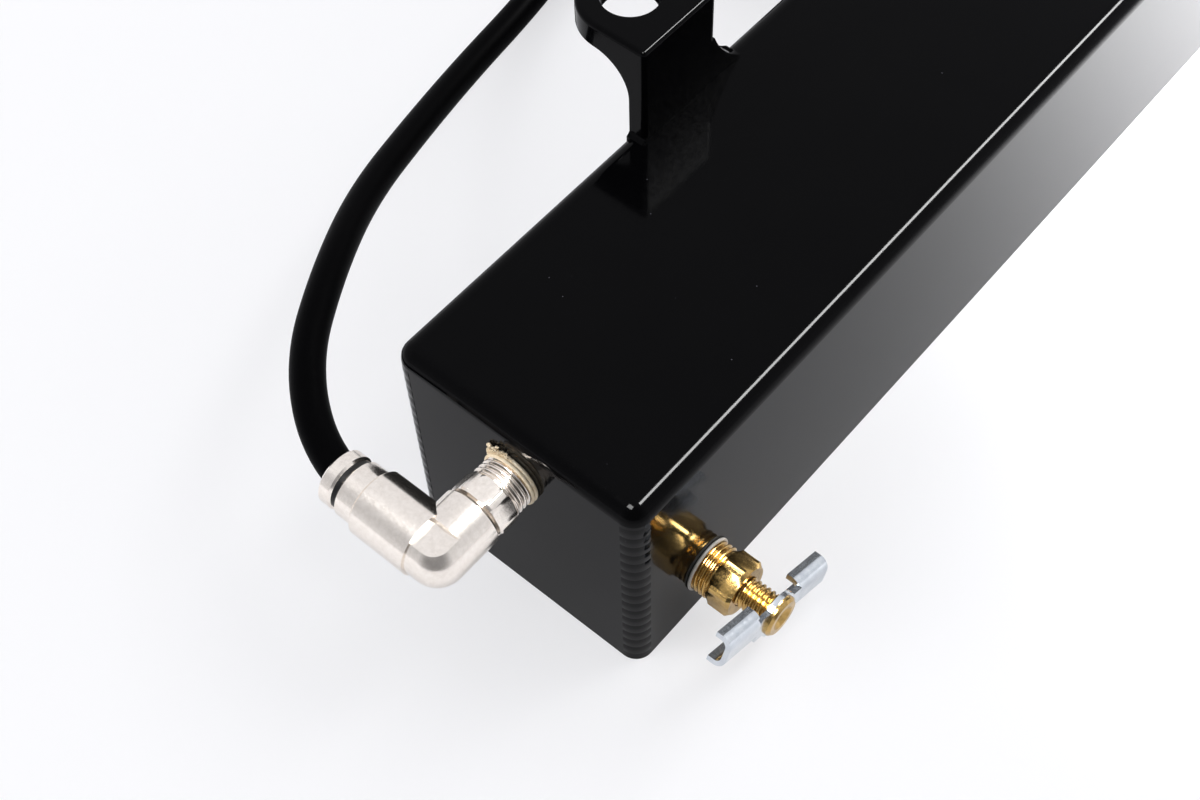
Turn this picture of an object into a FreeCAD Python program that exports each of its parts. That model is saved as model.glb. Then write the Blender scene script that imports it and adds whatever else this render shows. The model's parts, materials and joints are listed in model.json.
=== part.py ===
"""A welded sheet-aluminium catch can with a push-in hose elbow, a drain valve and two mounting brackets.

Units are millimetres. +Z is up, +Y runs along the can away from the hose end, and the origin is the
centre of the base's underside.
"""
import FreeCAD
import Part
import math
import os

# Can, folded from one sheet and welded along its upright corners
CAN_LENGTH = 254.0
CAN_WIDTH = 52.0
CAN_HEIGHT = 50.0
SHEET = 2.0
BEND_RADIUS = 3.2
CORNER_RADIUS = 3.4
BEAD_DROP = 4.0
BEAD_PITCH = 2.8
BEAD_CROWN = 0.08

# Taper pipe thread of both fittings, and the round bungs that take it behind the walls
THREAD_MAJOR = 10.3
THREAD_TAPER = 1.0 / 16.0
THREAD_FIT = 0.05
THREAD_ENGAGED = 6.0
THREAD_RELIEF = 0.35
BUNG_DIAMETER = 18.0
BUNG_LENGTH = 8.0
BUNG_CHAMFER = 1.0

# Mounting brackets, welded along the left edge of the top
BRACKET_SETBACK = 59.8
BRACKET_INSET = 0.6
BRACKET_WIDTH = 19.2
BRACKET_RISE = 21.5
BRACKET_LEG = 3.5
LUG_THICKNESS = 5.0
LUG_OFFSET = 7.5
LUG_HOLE = 11.0
BRACKET_FILLET = 8.0
BRACKET_EDGE = 0.9
BRACKET_BEAD = 0.8
BRACKET_WEB_LENGTH = 8.2
BRACKET_WEB_HEIGHT = 10.5
WELD_HOLLOW = 0.42

# Hose elbow: the stud that screws into the front end, and the swivelling elbow on it
INLET_DROP = 12.6
STUD_SHOWING = 5.0
STUD_BORE = 4.0
STUD_HEX_FLATS = 10.2
STUD_HEX_TURNED = 11.2
STUD_HEX_LENGTH = 4.1
STUD_HEX_ANGLE = 35.0
SWIVEL_GAP = 0.5
SPIGOT_DIAMETER = 7.2
SPIGOT_LENGTH = 7.0
SWIVEL_FIT = 0.05
SWIVEL_SEAL_CORD = 1.2
CLIP_WIRE = 1.0
CLIP_OPENING = 2.0
NECK_DIAMETER = 11.4
BEND_REACH = 18.2
BEND_ROUND = 5.2
FLAT_HALF_HEIGHT = 4.6
FLAT_BACK = 2.1
ARM_DIAMETER = 12.2
ARM_LENGTH = 14.2
ARM_CHAMFER = 0.5
PASSAGE = 4.4

# Tube grip in the elbow's arm
TUBE_DIAMETER = 6.35
TUBE_FIT = 0.12
TUBE_STOP = 5.0
TUBE_SOCKET = 4.2
TUBE_SEAL_CORD = 1.3
GRIP_THICKNESS = 0.4
GRIP_TEETH = 8
GRIP_SLOT = 0.8
HOUSING_DIAMETER = 10.5
HOUSING_PRESS = 9.6
HOUSING_SHOWING = 4.0
HOUSING_DISH = 1.6
COLLET_WALL = 0.7
COLLET_FIT = 0.06
COLLET_COLLAR = 9.2
COLLET_FLARE = 0.3
COLLET_FLARE_LENGTH = 4.5
RELEASE_GAP = 1.0
RELEASE_TRAVEL = 0.8
RING_DIAMETER = 10.2
RING_LENGTH = 2.8
RING_EDGE = 0.4
RING_BORE_CLEARANCE = 0.65

# Drain valve, low on the right side
DRAIN_SETBACK = 18.5
DRAIN_HEIGHT = 11.5
VALVE_SHOWING = 3.6
VALVE_HEX_FLATS = 10.0
VALVE_HEX_TURNED = 11.2
VALVE_HEX_LENGTH = 5.0
VALVE_HEX_CHAMFER = 0.7
VALVE_ORIFICE = 3.0
VALVE_SEAT_DEPTH = 2.5
STEM_DIAMETER = 6.0
STEM_FIT = 0.05
STEM_SHOWING = 6.0
STEM_TIP = 2.0
STEM_BORE = 1.8
STEM_NECK = 5.0
STEM_SEAL_CORD = 0.9
STEM_SEAL_DEPTH = 3.0
RIVET_DIAMETER = 8.0
RIVET_HEIGHT = 1.0
RIVET_MOUTH = 5.0
RIVET_MOUTH_DEPTH = 1.3
HANDLE_SHEET = 1.0
HANDLE_SPAN = 31.0
HANDLE_HEIGHT = 6.6
HANDLE_DEPTH = 3.4
HANDLE_NECK = 5.4
HANDLE_WING = 6.2
HANDLE_EYE = 9.0
HANDLE_BEND = 2.2
HANDLE_TILT = 24.0

# Thread sealant squeezed out at the walls
SEALANT_PROUD = 0.45
INLET_SEALANT_BAND = 0.7
DRAIN_SEALANT_BAND = 0.6

# Hose: straight lead out of the elbow, route chosen by hand, and the tied coil at its end
HOSE_LEAD = 25.5
COIL_CENTRE = (-78.0, 58.0)
COIL_DIAMETER = 70.0
COIL_TURNS = 3
COIL_ROUND = 3.0
TIE_WIDTH = 5.0
TIE_THICKNESS = 1.2
TIE_FIT = 0.15
TIE_ANGLE = 20.0
HOSE_ROUTE = [
    (-43.0, -133.7, 36.2),
    (-57.0, -114.5, 31.5),
    (-70.5, -93.5, 23.2),
    (-80.2, -70.0, 15.2),
    (-88.3, -46.5, 8.6),
    (-94.0, -22.0, 4.6),
    (-99.2, 2.5, 4.4),
    (-105.0, 26.5, 4.4),
    (-110.5, 48.5, 4.4),
]

V = FreeCAD.Vector
UP = V(0, 0, 1)
FRONT = V(0, -1, 0)
RIGHT = V(1, 0, 0)
LEFT = V(-1, 0, 0)

# Places worked out from the driving dimensions
FRONT_Y = -CAN_LENGTH / 2
SIDE_X = CAN_WIDTH / 2
INLET_SEAT = V(0, FRONT_Y, CAN_HEIGHT - INLET_DROP)
BEND_CENTRE = INLET_SEAT + FRONT * BEND_REACH
DRAIN_SEAT = V(SIDE_X, FRONT_Y + DRAIN_SETBACK, DRAIN_HEIGHT)
TUBE_RADIUS = TUBE_DIAMETER / 2


def placed(shape, seat, outward, spin=0.0):
    """Moves a shape built along +Z to a seat, with its +Z along outward, spun about that axis."""
    spun = FreeCAD.Rotation(UP, spin)
    turn = FreeCAD.Rotation(UP, outward)
    shape.Placement = FreeCAD.Placement(seat, turn.multiply(spun))
    return shape


def turned(outline, seat, outward):
    """Revolves a closed outline of (distance along the axis, radius) points about an axis."""
    corners = [V(radius, 0, along) for along, radius in outline]
    face = Part.Face(Part.makePolygon(corners + corners[:1]))
    return placed(face.revolve(V(), UP, 360), seat, outward)


def rod(start, end, diameter):
    """A round bar between two points."""
    return Part.makeCylinder(diameter / 2, (end - start).Length, start, end - start)


def block(low, high):
    """A box between two opposite corners."""
    size = high - low
    return Part.makeBox(size.x, size.y, size.z, low)


def upright_edges(solid):
    """The edges of a solid that run straight up."""
    return [edge for edge in solid.Edges if abs(edge.tangentAt(edge.FirstParameter).z) > 0.999]


def top_edges(solid):
    """The edges of a solid that lie in its highest plane."""
    top = solid.BoundBox.ZMax
    return [edge for edge in solid.Edges if abs(edge.BoundBox.ZMin - top) < 1e-6]


def hex_bar(flats, turned_diameter, chamfer, low, high, angle):
    """A hexagon bar along +Z with its corners turned down and its ends chamfered."""
    corner = flats / math.sqrt(3)
    points = []
    for step in range(7):
        turn = math.radians(angle + 60 * step)
        points.append(V(corner * math.cos(turn), corner * math.sin(turn), low))
    prism = Part.Face(Part.makePolygon(points)).extrude(UP * (high - low))
    edge = turned_diameter / 2
    barrel = turned([(low, 0), (low, edge - chamfer), (low + chamfer, edge), (high - chamfer, edge),
                     (high, edge - chamfer), (high, 0)], V(), UP)
    return prism.common(barrel)


def thread_radius(along, showing):
    """Radius of the taper thread at a distance outward from the wall, full size at its outer end."""
    return THREAD_MAJOR / 2 - (showing - along) * THREAD_TAPER / 2


def thread_hole(seat, outward, showing, low, high):
    """The tapered space that a fitting's thread takes up, with the thread's clearance."""
    return turned([(low, 0), (low, thread_radius(low, showing) + THREAD_FIT),
                   (high, thread_radius(high, showing) + THREAD_FIT), (high, 0)], seat, outward)


def seal_ring(along, inner, cord, seat, outward):
    """A round-section rubber ring, given by its middle along the axis and its inner radius."""
    ring = Part.makeTorus(inner + cord / 2, cord / 2)
    ring.translate(UP * along)
    return placed(Part.makeCompound([ring]), seat, outward).Solids[0]


def can_hollow():
    """The space inside the folded walls, from the base plate up."""
    hollow = block(V(SHEET - SIDE_X, FRONT_Y + SHEET, SHEET),
                   V(SIDE_X - SHEET, -FRONT_Y - SHEET, CAN_HEIGHT - SHEET))
    hollow = hollow.makeFillet(CORNER_RADIUS - SHEET, upright_edges(hollow))
    return hollow.makeFillet(BEND_RADIUS - SHEET, top_edges(hollow))


def can_shell():
    """The top and four walls, one sheet folded down, open at each upright corner for its weld."""
    shell = block(V(-SIDE_X, FRONT_Y, SHEET), V(SIDE_X, -FRONT_Y, CAN_HEIGHT))
    shell = shell.makeFillet(CORNER_RADIUS, upright_edges(shell))
    shell = shell.makeFillet(BEND_RADIUS, top_edges(shell)).cut(can_hollow())
    for side in (-1, 1):
        for end in (-1, 1):
            notch = Part.makeBox(2 * CORNER_RADIUS, 2 * CORNER_RADIUS, CAN_HEIGHT - BEAD_DROP)
            notch.translate(V(side * SIDE_X - CORNER_RADIUS, end * FRONT_Y - CORNER_RADIUS, 0))
            shell = shell.cut(notch)
    shell = shell.cut(thread_hole(INLET_SEAT, FRONT, STUD_SHOWING, -SHEET, 0))
    return shell.cut(thread_hole(DRAIN_SEAT, RIGHT, VALVE_SHOWING, -SHEET, 0))


def base_plate():
    """The flat plate that closes the can, welded under the walls and ground flush."""
    plate = block(V(-SIDE_X, FRONT_Y, 0), V(SIDE_X, -FRONT_Y, SHEET))
    return plate.makeFillet(CORNER_RADIUS, upright_edges(plate))


def corner_welds():
    """Four rippled weld beads that fill the open corners, each ripple an arc in the bead's outline."""
    low = SHEET
    high = CAN_HEIGHT - BEAD_DROP
    count = max(1, round((high - low) / BEAD_PITCH))
    pitch = (high - low) / count
    edges = [Part.LineSegment(V(0, 0, low), V(CORNER_RADIUS, 0, low)).toShape()]
    for ripple in range(count):
        foot = low + ripple * pitch
        start = V(CORNER_RADIUS, 0, foot)
        crown = V(CORNER_RADIUS + BEAD_CROWN, 0, foot + pitch / 2)
        edges.append(Part.Arc(start, crown, V(CORNER_RADIUS, 0, foot + pitch)).toShape())
    edges.append(Part.LineSegment(V(CORNER_RADIUS, 0, high), V(0, 0, high)).toShape())
    edges.append(Part.LineSegment(V(0, 0, high), V(0, 0, low)).toShape())
    bead = Part.Face(Part.Wire(edges)).revolve(V(), UP, 90)
    hollow = can_hollow()
    beads = []
    for quarter, (side, end) in enumerate(((1, 1), (-1, 1), (-1, -1), (1, -1))):
        axis = V(side * (SIDE_X - CORNER_RADIUS), end * (-FRONT_Y - CORNER_RADIUS), 0)
        corner = bead.copy()
        corner.Placement = FreeCAD.Placement(axis, FreeCAD.Rotation(UP, 90 * quarter))
        beads.append(corner.cut(hollow))
    return Part.makeCompound([solid for corner in beads for solid in corner.Solids])


def bung(seat, outward, showing):
    """A round threaded bung welded behind a wall, with its taper bore in line with the fitting."""
    back = -SHEET - BUNG_LENGTH
    edge = BUNG_DIAMETER / 2
    boss = turned([(-SHEET, 0), (-SHEET, edge), (back + BUNG_CHAMFER, edge), (back, edge - BUNG_CHAMFER),
                   (back, 0)], seat, outward)
    return boss.cut(thread_hole(seat, outward, showing, back, -SHEET))


def lug_centre(front):
    """Centre of a bracket's hole, for a bracket that starts this far along Y."""
    return V(-SIDE_X + BRACKET_INSET - LUG_OFFSET, front + BRACKET_WIDTH / 2, CAN_HEIGHT + BRACKET_RISE)


def bracket(front):
    """An angle bracket with rounded edges: a leg on the can's top, and a round-ended lug turned outwards."""
    outer = -SIDE_X + BRACKET_INSET
    inner = outer + BRACKET_LEG
    top = CAN_HEIGHT + BRACKET_RISE
    centre = lug_centre(front)
    tip = centre.x - BRACKET_WIDTH / 2
    under = top - LUG_THICKNESS
    bend = V(outer - BRACKET_FILLET, front, under - BRACKET_FILLET)
    hollow = bend + V(1, 0, 1) * (BRACKET_FILLET * math.sqrt(0.5))
    foot = CAN_HEIGHT - BEND_RADIUS
    start = V(bend.x, front, under)
    end = V(outer, front, bend.z)
    edges = [
        Part.LineSegment(V(tip, front, top), V(tip, front, under)).toShape(),
        Part.LineSegment(V(tip, front, under), start).toShape(),
        Part.Arc(start, hollow, end).toShape(),
        Part.LineSegment(end, V(outer, front, foot)).toShape(),
        Part.LineSegment(V(outer, front, foot), V(inner, front, foot)).toShape(),
        Part.LineSegment(V(inner, front, foot), V(inner, front, top)).toShape(),
        Part.LineSegment(V(inner, front, top), V(tip, front, top)).toShape(),
    ]
    body = Part.Face(Part.Wire(edges)).extrude(V(0, BRACKET_WIDTH, 0))
    round_end = Part.makeCylinder(BRACKET_WIDTH / 2, top, V(centre.x, centre.y, 0))
    behind = block(V(centre.x, front, 0), V(inner, front + BRACKET_WIDTH, top))
    body = body.common(round_end.fuse(behind)).removeSplitter()
    body = body.makeFillet(BRACKET_EDGE, [edge for edge in upright_edges(body)
                                          if edge.BoundBox.XMin > inner - 1e-6])
    body = body.makeFillet(BRACKET_EDGE, top_edges(body))
    body = body.cut(Part.makeCylinder(LUG_HOLE / 2, top, V(centre.x, centre.y, 0)))
    return body.cut(can_block())


def can_block():
    """The can's outer form with its bends, without the hollow."""
    form = block(V(-SIDE_X, FRONT_Y, SHEET), V(SIDE_X, -FRONT_Y, CAN_HEIGHT))
    form = form.makeFillet(CORNER_RADIUS, upright_edges(form))
    return form.makeFillet(BEND_RADIUS, top_edges(form))


def bracket_weld(front):
    """The welds at the ends of a bracket's foot: a small bead in front and a hollow web behind."""
    outer = -SIDE_X + BRACKET_INSET
    foot = CAN_HEIGHT - BEND_RADIUS
    around = bracket(front).fuse(can_block())
    beads = []
    for end, reach, rise in ((front, -BRACKET_BEAD, BRACKET_BEAD),
                             (front + BRACKET_WIDTH, BRACKET_WEB_LENGTH, BRACKET_WEB_HEIGHT)):
        root = end - math.copysign(BRACKET_EDGE, reach)
        toe = end + reach
        crown = CAN_HEIGHT + rise
        dip = V(outer, end + reach * WELD_HOLLOW, CAN_HEIGHT + rise * WELD_HOLLOW)
        corners = [V(outer, end, crown), V(outer, root, crown), V(outer, root, foot), V(outer, toe, foot),
                   V(outer, toe, CAN_HEIGHT)]
        edges = [Part.LineSegment(near, far).toShape() for near, far in zip(corners, corners[1:])]
        edges.append(Part.Arc(corners[-1], dip, corners[0]).toShape())
        bead = Part.Face(Part.Wire(edges)).extrude(V(BRACKET_LEG, 0, 0))
        beads += bead.cut(around).Solids
    return beads


def hex_end():
    """Distance from the front wall to the outer end of the stud's hexagon."""
    return STUD_SHOWING + STUD_HEX_LENGTH


def swivel_places():
    """Distances from the front wall to the middles of the swivel's seal ring and of its clip."""
    start = hex_end() + SWIVEL_GAP
    return start + SPIGOT_LENGTH * 0.3, start + SPIGOT_LENGTH * 0.68


def groove(middle, width, outer, floor):
    """Outline points of a square groove in a turned surface, from its near side to its far side."""
    near = middle - width / 2
    far = middle + width / 2
    return [(near, outer), (near, floor), (far, floor), (far, outer)]


def elbow_stud():
    """The plated brass stud: taper thread, hexagon, and a grooved spigot that the elbow turns on."""
    inner = -THREAD_ENGAGED
    bore = STUD_BORE / 2
    relief = thread_radius(STUD_SHOWING, STUD_SHOWING) - THREAD_RELIEF
    spigot = SPIGOT_DIAMETER / 2
    seal_at, clip_at = swivel_places()
    end = hex_end() + SWIVEL_GAP + SPIGOT_LENGTH
    outline = [(inner, bore), (inner, thread_radius(inner, STUD_SHOWING)),
               (STUD_SHOWING - THREAD_RELIEF, thread_radius(STUD_SHOWING - THREAD_RELIEF, STUD_SHOWING)),
               (STUD_SHOWING - THREAD_RELIEF, relief), (STUD_SHOWING, relief), (hex_end(), relief),
               (hex_end(), spigot)]
    seal_floor = spigot - SWIVEL_SEAL_CORD + SWIVEL_FIT
    outline += groove(seal_at, SWIVEL_SEAL_CORD + 4 * SWIVEL_FIT, spigot, seal_floor)
    outline += groove(clip_at, CLIP_WIRE + 4 * SWIVEL_FIT, spigot, spigot - CLIP_WIRE / 2 - SWIVEL_FIT)
    outline += [(end, spigot), (end, bore)]
    stud = turned(outline, INLET_SEAT, FRONT)
    nut = hex_bar(STUD_HEX_FLATS, STUD_HEX_TURNED, THREAD_RELIEF, STUD_SHOWING, hex_end(),
                  90 - STUD_HEX_ANGLE)
    nut = nut.cut(Part.makeCylinder(bore, hex_end()))
    return stud.fuse(placed(nut, INLET_SEAT, FRONT)).removeSplitter()


def swivel_seal():
    """The rubber ring in the spigot's first groove."""
    seal_at, _ = swivel_places()
    cord = SWIVEL_SEAL_CORD - SWIVEL_FIT
    return seal_ring(seal_at, SPIGOT_DIAMETER / 2 - cord, cord, INLET_SEAT, FRONT)


def swivel_clip():
    """The open wire ring that holds the elbow on the spigot, half in each groove."""
    _, clip_at = swivel_places()
    ring = Part.makeTorus(SPIGOT_DIAMETER / 2, CLIP_WIRE / 2)
    reach = SPIGOT_DIAMETER / 2 + CLIP_WIRE
    ring = ring.cut(block(V(0, -CLIP_OPENING / 2, -CLIP_WIRE), V(reach, CLIP_OPENING / 2, CLIP_WIRE)))
    ring.translate(UP * clip_at)
    return placed(Part.makeCompound([ring]), INLET_SEAT, FRONT).Solids[0]


def seal_at_tube():
    """Distance along the arm, from the bend, to the start of the tube seal's seat."""
    return TUBE_STOP + TUBE_SOCKET


def grip_at():
    """Distance along the arm to the inner face of the grip ring."""
    return seal_at_tube() + TUBE_SEAL_CORD + 2 * TUBE_FIT


def housing_at():
    """Distance along the arm to the inner end of the collet housing."""
    return grip_at() + GRIP_THICKNESS


def ring_at():
    """Distance along the arm to the inner face of the release ring at rest."""
    return ARM_LENGTH + HOUSING_SHOWING + RELEASE_GAP


def elbow_outside():
    """The forged outer form: neck, larger arm, rounded corner, and flats above and below the bend."""
    neck_edge = NECK_DIAMETER / 2
    arm_edge = ARM_DIAMETER / 2
    start = hex_end() + SWIVEL_GAP
    overrun = neck_edge - BEND_ROUND
    neck = turned([(start, 0), (start, neck_edge - ARM_CHAMFER), (start + ARM_CHAMFER, neck_edge),
                   (BEND_REACH + overrun, neck_edge), (BEND_REACH + overrun, 0)], INLET_SEAT, FRONT)
    arm = turned([(FLAT_BACK, 0), (FLAT_BACK, arm_edge), (ARM_LENGTH - ARM_CHAMFER, arm_edge),
                  (ARM_LENGTH, arm_edge - ARM_CHAMFER), (ARM_LENGTH, 0)], BEND_CENTRE, LEFT)
    cross = rod(BEND_CENTRE + LEFT * FLAT_BACK, BEND_CENTRE + RIGHT * overrun, NECK_DIAMETER)
    height = math.sqrt(neck_edge ** 2 - overrun ** 2)
    side = Part.Arc(V(0, 0, height), V(BEND_ROUND, 0, 0), V(0, 0, -height)).toShape()
    axis = Part.LineSegment(V(0, 0, -height), V(0, 0, height)).toShape()
    corner = Part.Face(Part.Wire([side, axis])).revolve(V(), UP, -90)
    corner.translate(BEND_CENTRE + RIGHT * overrun + FRONT * overrun)
    form = neck.fuse(arm).fuse(cross).fuse(corner)
    for low in (FLAT_HALF_HEIGHT, -FLAT_HALF_HEIGHT - arm_edge):
        flat = block(V(-FLAT_BACK, -2 * arm_edge, low), V(2 * arm_edge, FLAT_BACK, low + arm_edge))
        flat.translate(BEND_CENTRE)
        form = form.cut(flat)
    return form


def elbow_body():
    """The forged elbow with its swivel bore, flow passage, tube socket and the seats of the tube grip."""
    neck_start = hex_end() + SWIVEL_GAP
    bore = SPIGOT_DIAMETER / 2 + SWIVEL_FIT
    spigot_end = neck_start + SPIGOT_LENGTH + SWIVEL_GAP
    _, clip_at = swivel_places()
    passage = PASSAGE / 2
    body = elbow_outside()
    swivel = [(neck_start, 0), (neck_start, bore)]
    swivel += groove(clip_at, CLIP_WIRE + 4 * SWIVEL_FIT, bore, SPIGOT_DIAMETER / 2 + CLIP_WIRE / 2)
    swivel += [(spigot_end, bore), (spigot_end, passage), (BEND_REACH + passage, passage),
               (BEND_REACH + passage, 0)]
    body = body.cut(turned(swivel, INLET_SEAT, FRONT))
    socket = TUBE_RADIUS + TUBE_FIT
    seat = TUBE_RADIUS + TUBE_FIT + TUBE_SEAL_CORD
    press = HOUSING_PRESS / 2
    arm = [(0, 0), (0, passage), (TUBE_STOP, passage), (TUBE_STOP, socket), (seal_at_tube(), socket),
           (seal_at_tube(), seat), (grip_at(), seat), (grip_at(), press), (ARM_LENGTH, press),
           (ARM_LENGTH, 0)]
    return body.cut(turned(arm, BEND_CENTRE, LEFT))


def tube_seal():
    """The rubber ring that seals on the hose."""
    return seal_ring(seal_at_tube() + TUBE_SEAL_CORD / 2 + TUBE_FIT, TUBE_RADIUS + TUBE_FIT, TUBE_SEAL_CORD,
                     BEND_CENTRE, LEFT)


def grip_ring():
    """The slotted spring-steel washer whose teeth bite on the hose."""
    inner = TUBE_RADIUS + TUBE_FIT
    outer = HOUSING_PRESS / 2 - TUBE_FIT
    washer = Part.makeCylinder(outer, GRIP_THICKNESS).cut(Part.makeCylinder(inner, GRIP_THICKNESS))
    middle = (inner + outer) / 2
    for tooth in range(GRIP_TEETH):
        slot = block(V(0, -GRIP_SLOT / 2, 0), V(middle, GRIP_SLOT / 2, GRIP_THICKNESS))
        slot.rotate(V(), UP, 360 * tooth / GRIP_TEETH)
        washer = washer.cut(slot)
    washer.translate(UP * grip_at())
    return placed(Part.makeCompound([washer]), BEND_CENTRE, LEFT).Solids[0]


def collet_outer():
    """Outer radius of the collet's sleeve."""
    return TUBE_RADIUS + TUBE_FIT + COLLET_WALL


def collet_housing():
    """The plated sleeve pressed into the arm, dished at its mouth for the collet's collar."""
    inner = housing_at()
    end = ARM_LENGTH + HOUSING_SHOWING
    edge = HOUSING_DIAMETER / 2
    bore = collet_outer() + COLLET_FIT
    dish = COLLET_COLLAR / 2 + COLLET_FIT
    return turned([(inner, bore), (inner, HOUSING_PRESS / 2), (ARM_LENGTH, HOUSING_PRESS / 2),
                   (ARM_LENGTH, edge), (end - RING_EDGE, edge), (end, edge - RING_EDGE), (end, dish),
                   (end - HOUSING_DISH, dish), (end - HOUSING_DISH, bore)], BEND_CENTRE, LEFT)


def collet():
    """The black plastic collet: a sleeve with a flared mouth and a collar behind the release ring."""
    inner = housing_at() + RELEASE_TRAVEL + TUBE_FIT
    end = ring_at() + RING_LENGTH / 2
    bore = TUBE_RADIUS + TUBE_FIT
    collar_start = ARM_LENGTH + HOUSING_SHOWING - HOUSING_DISH + RELEASE_TRAVEL + TUBE_FIT
    return turned([(inner, bore), (inner, collet_outer()), (collar_start, collet_outer()),
                   (collar_start, COLLET_COLLAR / 2), (ring_at(), COLLET_COLLAR / 2),
                   (ring_at(), collet_outer()), (end, collet_outer()), (end, bore + COLLET_FLARE),
                   (end - COLLET_FLARE_LENGTH, bore)], BEND_CENTRE, LEFT)


def release_ring():
    """The plated ring that is pressed in to let the hose go, seated on the collet's end."""
    start = ring_at()
    step = start + RING_LENGTH / 2
    end = start + RING_LENGTH
    edge = RING_DIAMETER / 2
    bore = TUBE_RADIUS + RING_BORE_CLEARANCE
    return turned([(start, collet_outer()), (start, edge - RING_EDGE), (start + RING_EDGE, edge),
                   (end - RING_EDGE, edge), (end, edge - RING_EDGE), (end, bore + RING_EDGE),
                   (end - RING_EDGE, bore), (step, bore), (step, collet_outer())], BEND_CENTRE, LEFT)


def sealant(seat, outward, showing, band, bands):
    """Rounded bands of thread sealant side by side at a wall, in one piece on the thread."""
    end = band * bands
    wall = V(thread_radius(0, showing), 0, 0)
    outer = V(thread_radius(end, showing), 0, end)
    proud = thread_radius(0, showing) + SEALANT_PROUD / 2
    edges = [Part.LineSegment(outer, wall).toShape(), Part.LineSegment(wall, V(proud, 0, 0)).toShape()]
    for lap in range(bands):
        crest = V(proud + SEALANT_PROUD / 2, 0, (lap + 0.5) * band)
        edges.append(Part.Arc(V(proud, 0, lap * band), crest, V(proud, 0, (lap + 1) * band)).toShape())
    edges.append(Part.LineSegment(V(proud, 0, end), outer).toShape())
    return placed(Part.Face(Part.Wire(edges)).revolve(V(), UP, 360), seat, outward)


def hex_face():
    """Distance from the right wall to the outer face of the valve's hexagon."""
    return VALVE_SHOWING + VALVE_HEX_LENGTH


def handle_at():
    """Distance from the right wall to the inner face of the handle's web."""
    return hex_face() + STEM_SHOWING


def stem_seat():
    """Distance from the right wall to the wide end of the valve's conical seat."""
    return VALVE_SHOWING - VALVE_SEAT_DEPTH - STEM_TIP


def valve_body():
    """The brass valve body: taper thread, hexagon, and a stem bore that ends in a conical seat."""
    inner = -THREAD_ENGAGED
    relief = thread_radius(VALVE_SHOWING, VALVE_SHOWING) - THREAD_RELIEF
    bore = STEM_DIAMETER / 2 + STEM_FIT
    orifice = VALVE_ORIFICE / 2
    wide = stem_seat()
    narrow = wide - (bore - orifice)
    outline = [(inner, orifice), (inner, thread_radius(inner, VALVE_SHOWING)),
               (VALVE_SHOWING - THREAD_RELIEF, thread_radius(VALVE_SHOWING - THREAD_RELIEF, VALVE_SHOWING)),
               (VALVE_SHOWING - THREAD_RELIEF, relief), (VALVE_SHOWING, relief), (VALVE_SHOWING, bore),
               (wide, bore), (narrow, orifice)]
    body = turned(outline, DRAIN_SEAT, RIGHT)
    nut = hex_bar(VALVE_HEX_FLATS, VALVE_HEX_TURNED, VALVE_HEX_CHAMFER, VALVE_SHOWING, hex_face(), 0)
    nut = nut.cut(Part.makeCylinder(bore, hex_face()))
    return body.fuse(placed(nut, DRAIN_SEAT, RIGHT)).removeSplitter()


def stem_seal_at():
    """Distance from the right wall to the middle of the stem's seal ring."""
    return hex_face() - STEM_SEAL_DEPTH


def valve_stem():
    """The hollow brass stem: conical tip, cross hole, seal groove, neck, and a dished rivet outside."""
    radius = STEM_DIAMETER / 2
    bore = STEM_BORE / 2
    wide = stem_seat() + STEM_FIT
    tip = wide - (radius - VALVE_ORIFICE / 2)
    web_start = handle_at()
    web_end = web_start + HANDLE_SHEET
    end = web_end + RIVET_HEIGHT
    floor = wide + STEM_DIAMETER / 2
    neck = STEM_NECK / 2
    rivet = RIVET_DIAMETER / 2
    outline = [(tip, 0), (tip, VALVE_ORIFICE / 2), (wide, radius)]
    seal_floor = radius - STEM_SEAL_CORD + STEM_FIT
    outline += groove(stem_seal_at(), STEM_SEAL_CORD + 4 * STEM_FIT, radius, seal_floor)
    outline += [(web_start, radius), (web_start, neck), (web_end, neck), (web_end, rivet),
                (web_end + RIVET_HEIGHT / 2, rivet), (end, rivet - RIVET_HEIGHT / 2),
                (end, RIVET_MOUTH / 2), (end - RIVET_MOUTH_DEPTH, bore), (floor, bore), (floor, 0)]
    stem = turned(outline, DRAIN_SEAT, RIGHT)
    middle = DRAIN_SEAT + RIGHT * (floor + bore)
    cross = rod(middle - UP * STEM_DIAMETER, middle + UP * STEM_DIAMETER, STEM_BORE)
    return stem.cut(cross)


def stem_seal():
    """The small rubber ring in the stem's groove."""
    return seal_ring(stem_seal_at(), STEM_DIAMETER / 2 - STEM_SEAL_CORD + 2 * STEM_FIT,
                     STEM_SEAL_CORD - 2 * STEM_FIT, DRAIN_SEAT, RIGHT)


def wing_handle():
    """The stamped steel handle: a round eye and two wings, their long edges turned back as a channel."""
    half_span = HANDLE_SPAN / 2
    half_height = HANDLE_HEIGHT / 2
    back = -HANDLE_DEPTH + HANDLE_SHEET
    wing_start = HANDLE_WING
    outer = block(V(-half_height, wing_start, back), V(half_height, half_span, HANDLE_SHEET))
    outer = outer.makeFillet(HANDLE_BEND, front_bends(outer))
    inner = block(V(HANDLE_SHEET - half_height, 0, back), V(half_height - HANDLE_SHEET, 2 * half_span, 0))
    inner = inner.makeFillet(HANDLE_BEND - HANDLE_SHEET, front_bends(inner))
    wing = outer.cut(inner)
    neck = block(V(-HANDLE_NECK / 2, 0, 0), V(HANDLE_NECK / 2, wing_start, HANDLE_SHEET))
    eye = Part.makeCylinder(HANDLE_EYE / 2, HANDLE_SHEET)
    handle = eye.fuse(neck).fuse(wing)
    other = handle.copy()
    other.rotate(V(), UP, 180)
    handle = handle.fuse(other).removeSplitter()
    handle = handle.cut(Part.makeCylinder(STEM_NECK / 2, HANDLE_SHEET))
    handle.translate(UP * handle_at())
    return placed(Part.makeCompound([handle]), DRAIN_SEAT, RIGHT, -HANDLE_TILT).Solids[0]


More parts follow.
